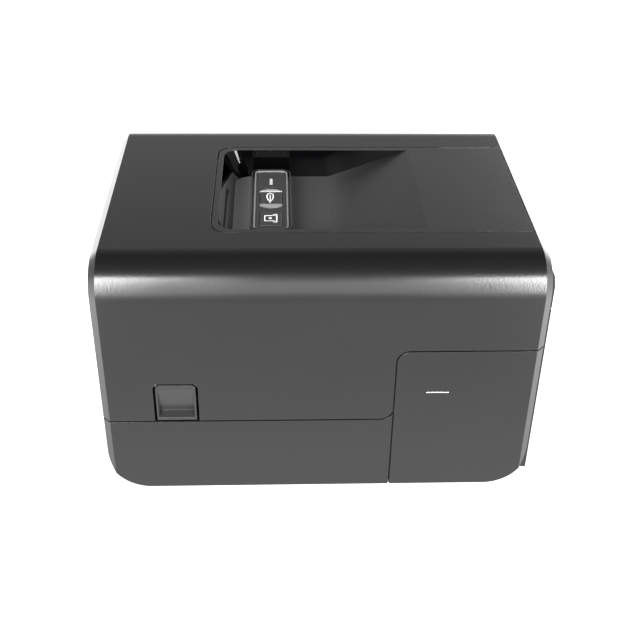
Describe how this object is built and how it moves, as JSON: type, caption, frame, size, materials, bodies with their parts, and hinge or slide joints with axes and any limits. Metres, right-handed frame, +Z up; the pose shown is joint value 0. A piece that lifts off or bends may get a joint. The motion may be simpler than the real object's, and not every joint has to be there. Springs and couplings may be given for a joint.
{
  "type": "thermal printer",
  "caption": "Desktop label printer with a rear-hinged cover, recessed control pad, side latches, label roll bay, print line and ribbon drive.",
  "frame": {"origin": "centre of the footprint, on the table under the feet", "axes": "+Z up, -Y towards the label outlet at the front, +X towards the side with the right-hand latch"},
  "size_m": [0.212, 0.287, 0.1738],
  "materials": {
    "case_dark": "moulded ABS, fine matt grain",
    "insert_grey": "moulded ABS, satin",
    "inner_grey": "moulded ABS, satin",
    "hub_black": "moulded plastic, black",
    "key_black": "moulded key cap, matt",
    "smoked": "smoked glossy polycarbonate",
    "lamp_white": "milky light lens",
    "lamp_grey": "milky light guide",
    "gear_white": "acetal, natural white",
    "rubber_black": "ground rubber",
    "steel": "plated sheet steel",
    "brass": "turned brass",
    "aluminium": "extruded, as cut",
    "head_ceramic": "glazed ceramic strip",
    "motor_black": "black painted laminations",
    "motor_can": "nickel plated can",
    "board_green": "solder mask"
  },
  "bodies": {
    "base": {"front_lower_case": "case_dark", "rear_lower_case": "case_dark", "bottom_hatch": "case_dark", "rubber_feet": "rubber_black", "base_chassis": "inner_grey", "media_bay": "inner_grey", "holder_bed": "inner_grey", "outlet_bezel": "case_dark", "platen_bearing_left": "gear_white", "platen_bearing_right": "gear_white", "feed_motor": "motor_black", "motor_bracket": "steel", "sensor_rail": "steel", "main_board": "board_green", "dc_inlet": "hub_black", "usb_port": "motor_can", "network_port": "motor_can", "serial_port": "motor_can", "port_plate": "steel", "rocker_frame": "hub_black", "hinge_pins": "steel", "catch_left": "steel", "catch_right": "steel", "case_screws": "steel"},
    "cover": {"top_cover": "case_dark", "recess_tray": "insert_grey", "window_left": "smoked", "window_right": "smoked", "keypad_bezel": "insert_grey", "mode_light": "lamp_grey", "status_light": "lamp_white", "panel_board": "board_green", "ribbon_frame": "inner_grey", "ribbon_motor": "motor_can", "head_springs": "steel", "latch_pins": "steel", "tear_bar": "steel"},
    "platen": {"platen_roller": "rubber_black", "platen_shaft": "steel", "platen_gear": "gear_white"},
    "idler": {"idler_gear": "gear_white"},
    "feed_drive": {"feed_pinion": "brass"},
    "holder_left": {"roll_holder_left": "inner_grey"},
    "holder_right": {"roll_holder_right": "inner_grey"},
    "hub_left": {"roll_hub_left": "hub_black"},
    "hub_right": {"roll_hub_right": "hub_black"},
    "sync": {"sync_pinion": "gear_white"},
    "sensor": {"media_sensor": "hub_black"},
    "power": {"power_rocker": "hub_black"},
    "head": {"head_bracket": "aluminium", "printhead": "head_ceramic"},
    "takeup": {"takeup_spindle": "hub_black", "takeup_gear": "gear_white"},
    "ribbon_drive": {"ribbon_pinion": "brass"},
    "supply": {"supply_spindle": "hub_black"},
    "mode_key": {"mode_button": "key_black"},
    "feed_key": {"feed_button": "key_black"},
    "latch_flap_left": {"latch_left": "case_dark"},
    "latch_flap_right": {"latch_right": "case_dark"}
  },
  "joints": [
    {"name": "cover_hinge", "type": "hinge", "parent": "base", "child": "cover", "pos_m": [0, 0.1395, 0.137], "axis": [-1, 0, 0], "range_deg": [0, 85]},
    {"name": "latch_left_pull", "type": "hinge", "parent": "cover", "child": "latch_flap_left", "pos_m": [-0.1015, -0.0955, 0.0858], "axis": [0, 1, 0], "range_deg": [0, 7], "stiffness_Nm_per_rad": 0.3},
    {"name": "latch_right_pull", "type": "hinge", "parent": "cover", "child": "latch_flap_right", "pos_m": [0.1015, -0.0955, 0.0858], "axis": [0, -1, 0], "range_deg": [0, 7], "stiffness_Nm_per_rad": 0.3},
    {"name": "mode_press", "type": "slide", "parent": "cover", "child": "mode_key", "axis": [0, 0, -1], "range_m": [0, 0.0008], "stiffness_N_per_m": 400},
    {"name": "feed_press", "type": "slide", "parent": "cover", "child": "feed_key", "axis": [0, 0, -1], "range_m": [0, 0.0008], "stiffness_N_per_m": 400},
    {"name": "head_pivot", "type": "hinge", "parent": "cover", "child": "head", "pos_m": [0, -0.0915, 0.096], "axis": [-1, 0, 0], "range_deg": [0, 3], "stiffness_Nm_per_rad": 2, "deforming": ["head_springs"]},
    {"name": "takeup_spin", "type": "hinge", "parent": "cover", "child": "takeup", "pos_m": [0, -0.112, 0.143], "axis": [1, 0, 0], "continuous": true},
    {"name": "ribbon_drive_spin", "type": "hinge", "parent": "cover", "child": "ribbon_drive", "pos_m": [-0.076, -0.0966, 0.13008], "axis": [1, 0, 0], "continuous": true},
    {"name": "supply_spin", "type": "hinge", "parent": "cover", "child": "supply", "pos_m": [0, -0.072, 0.118], "axis": [1, 0, 0], "continuous": true},
    {"name": "platen_spin", "type": "hinge", "parent": "base", "child": "platen", "pos_m": [0, -0.1215, 0.058], "axis": [1, 0, 0], "continuous": true},
    {"name": "idler_spin", "type": "hinge", "parent": "base", "child": "idler", "pos_m": [-0.079, -0.09498, 0.04603], "axis": [1, 0, 0], "continuous": true},
    {"name": "feed_drive_spin", "type": "hinge", "parent": "base", "child": "feed_drive", "pos_m": [-0.079, -0.0885, 0.027], "axis": [1, 0, 0], "continuous": true},
    {"name": "holder_left_slide", "type": "slide", "parent": "base", "child": "holder_left", "axis": [1, 0, 0], "range_m": [0, 0.036]},
    {"name": "holder_right_slide", "type": "slide", "parent": "base", "child": "holder_right", "axis": [-1, 0, 0], "range_m": [0, 0.036]},
    {"name": "sync_spin", "type": "hinge", "parent": "base", "child": "sync", "pos_m": [0, 0.06, 0.0153], "axis": [0, 0, 1], "range_deg": [-2, 259.8]},
    {"name": "hub_left_spin", "type": "hinge", "parent": "holder_left", "child": "hub_left", "pos_m": [-0.0595, 0.06, 0.092], "axis": [1, 0, 0], "continuous": true},
    {"name": "hub_right_spin", "type": "hinge", "parent": "holder_right", "child": "hub_right", "pos_m": [0.0595, 0.06, 0.092], "axis": [1, 0, 0], "continuous": true},
    {"name": "sensor_slide", "type": "slide", "parent": "base", "child": "sensor", "axis": [1, 0, 0], "range_m": [-0.045, 0.045]},
    {"name": "power_rock", "type": "hinge", "parent": "base", "child": "power", "pos_m": [0.061, 0.1355, 0.0223], "axis": [-1, 0, 0], "range_deg": [0, 14]}
  ],
  "couplings": [
    {"joint": "idler_spin", "follows": "platen_spin", "ratio": -1.0714},
    {"joint": "feed_drive_spin", "follows": "platen_spin", "ratio": 2.5},
    {"joint": "ribbon_drive_spin", "follows": "takeup_spin", "ratio": -2.5714},
    {"joint": "holder_right_slide", "follows": "holder_left_slide", "ratio": 1},
    {"joint": "sync_spin", "follows": "holder_left_slide", "rad_per_m": 125}
  ]
}
